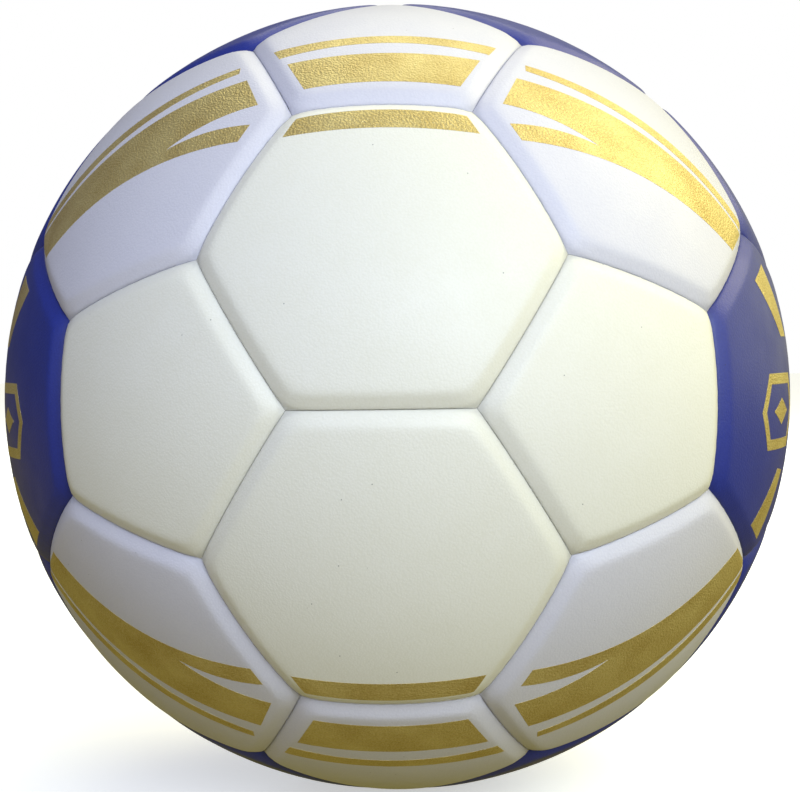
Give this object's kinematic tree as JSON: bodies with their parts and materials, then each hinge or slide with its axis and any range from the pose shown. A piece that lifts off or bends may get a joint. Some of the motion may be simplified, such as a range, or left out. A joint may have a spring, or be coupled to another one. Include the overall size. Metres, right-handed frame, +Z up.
{
  "type": "handball",
  "caption": "Round hand-stitched handball with a panelled leather cover over a padded lining, sewn with thread, and an air bladder filled through a recessed rubber valve.",
  "frame": {"origin": "centre of the ball", "axes": "+Z up, through the seam between the two top blue hexagons; -Y to the front, where two cream hexagons share a level seam; +X to the ball's right as seen from the front"},
  "size_m": [0.1876, 0.1876, 0.1876],
  "materials": {
    "cream_leather": "satin",
    "white_leather": "satin",
    "blue_leather": "satin",
    "gold_foil": "satin",
    "padded_lining": "matte",
    "bladder_rubber": "satin",
    "valve_rubber": "satin",
    "seam_thread": "matte"
  },
  "bodies": {
    "root": {"balance_patch": "bladder_rubber", "bladder": "bladder_rubber", "hexagon_blue_left_back": "blue_leather", "hexagon_blue_left_front": "blue_leather", "hexagon_blue_left_lower": "blue_leather", "hexagon_blue_left_upper": "blue_leather", "hexagon_blue_right_back": "blue_leather", "hexagon_blue_right_front": "blue_leather", "hexagon_blue_right_lower": "blue_leather", "hexagon_blue_right_upper": "blue_leather", "hexagon_cream_back_lower": "cream_leather", "hexagon_cream_back_upper": "cream_leather", "hexagon_cream_front_lower": "cream_leather", "hexagon_cream_front_upper": "cream_leather", "hexagon_white_left_back_lower": "white_leather", "hexagon_white_left_back_upper": "white_leather", "hexagon_white_left_front_lower": "white_leather", "hexagon_white_left_front_upper": "white_leather", "hexagon_white_right_back_lower": "white_leather", "hexagon_white_right_back_upper": "white_leather", "hexagon_white_right_front_lower": "white_leather", "hexagon_white_right_front_upper": "white_leather", "padded_lining": "padded_lining", "pentagon_blue_left_lower": "blue_leather", "pentagon_blue_left_upper": "blue_leather", "pentagon_blue_right_lower": "blue_leather", "pentagon_blue_right_upper": "blue_leather", "pentagon_cream_left_back": "cream_leather", "pentagon_cream_left_front": "cream_leather", "pentagon_cream_right_back": "cream_leather", "pentagon_cream_right_front": "cream_leather", "pentagon_white_back_lower": "white_leather", "pentagon_white_back_upper": "white_leather", "pentagon_white_front_lower": "white_leather", "pentagon_white_front_upper": "white_leather", "seam_thread_back": "seam_thread", "seam_thread_front": "seam_thread", "seam_thread_joining": "seam_thread", "valve_core": "valve_rubber", "valve_housing": "valve_rubber", "valve_patch": "bladder_rubber"}
  },
  "joints": []
}
